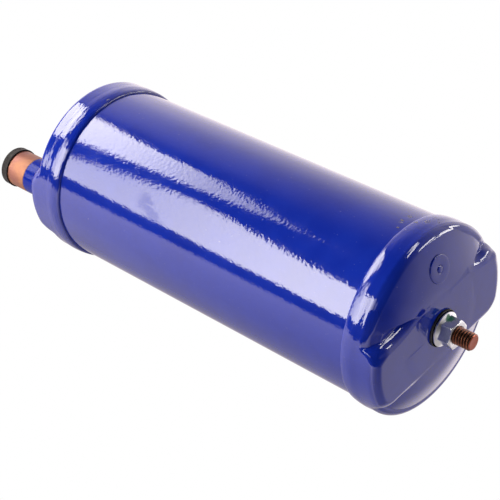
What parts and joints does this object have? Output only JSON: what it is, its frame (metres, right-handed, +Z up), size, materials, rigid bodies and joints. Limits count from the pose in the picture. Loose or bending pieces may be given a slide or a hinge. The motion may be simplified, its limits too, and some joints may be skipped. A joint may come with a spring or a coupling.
{
  "type": "suction accumulator",
  "caption": "Upright blue steel pressure vessel with pressed caps, copper pipe stubs on top and a threaded mounting stud with a flange nut underneath.",
  "frame": {"origin": "middle of the bottom cap's flat pad, where it seats on its bracket", "axes": "+Z up the vessel's axis towards the pipe stubs, X through both stubs"},
  "size_m": [0.1056, 0.1056, 0.3172],
  "materials": {
    "paint": "glossy royal blue enamel",
    "copper": "drawn copper, heat-mottled",
    "dust_plastic": "satin black",
    "stud_steel": "copper-flashed, darkened",
    "zinc": "bright zinc plate",
    "washer_rubber": "matt",
    "inner_steel": "mill",
    "inner_copper": "drawn copper",
    "collar_brass": "turned",
    "screen_wire": "woven wire",
    "braze_metal": "as flowed"
  },
  "bodies": {
    "root": {"shell": "paint", "bottom_cap": "paint", "top_cap": "paint", "bottom_weld": "paint", "top_weld": "paint", "inlet_stub": "copper", "outlet_stub": "copper", "inlet_braze": "paint", "outlet_braze": "paint", "inlet_dust_cap": "dust_plastic", "outlet_dust_cap": "dust_plastic", "outlet_tube": "inner_copper", "baffle_plate": "inner_steel", "tube_bracket": "inner_steel", "strainer_collar": "collar_brass", "oil_strainer": "screen_wire", "mounting_stud": "stud_steel", "stud_braze": "braze_metal", "sealing_washer": "washer_rubber", "flange_nut": "zinc", "fusible_plug": "paint", "fusible_alloy": "paint"}
  },
  "joints": []
}
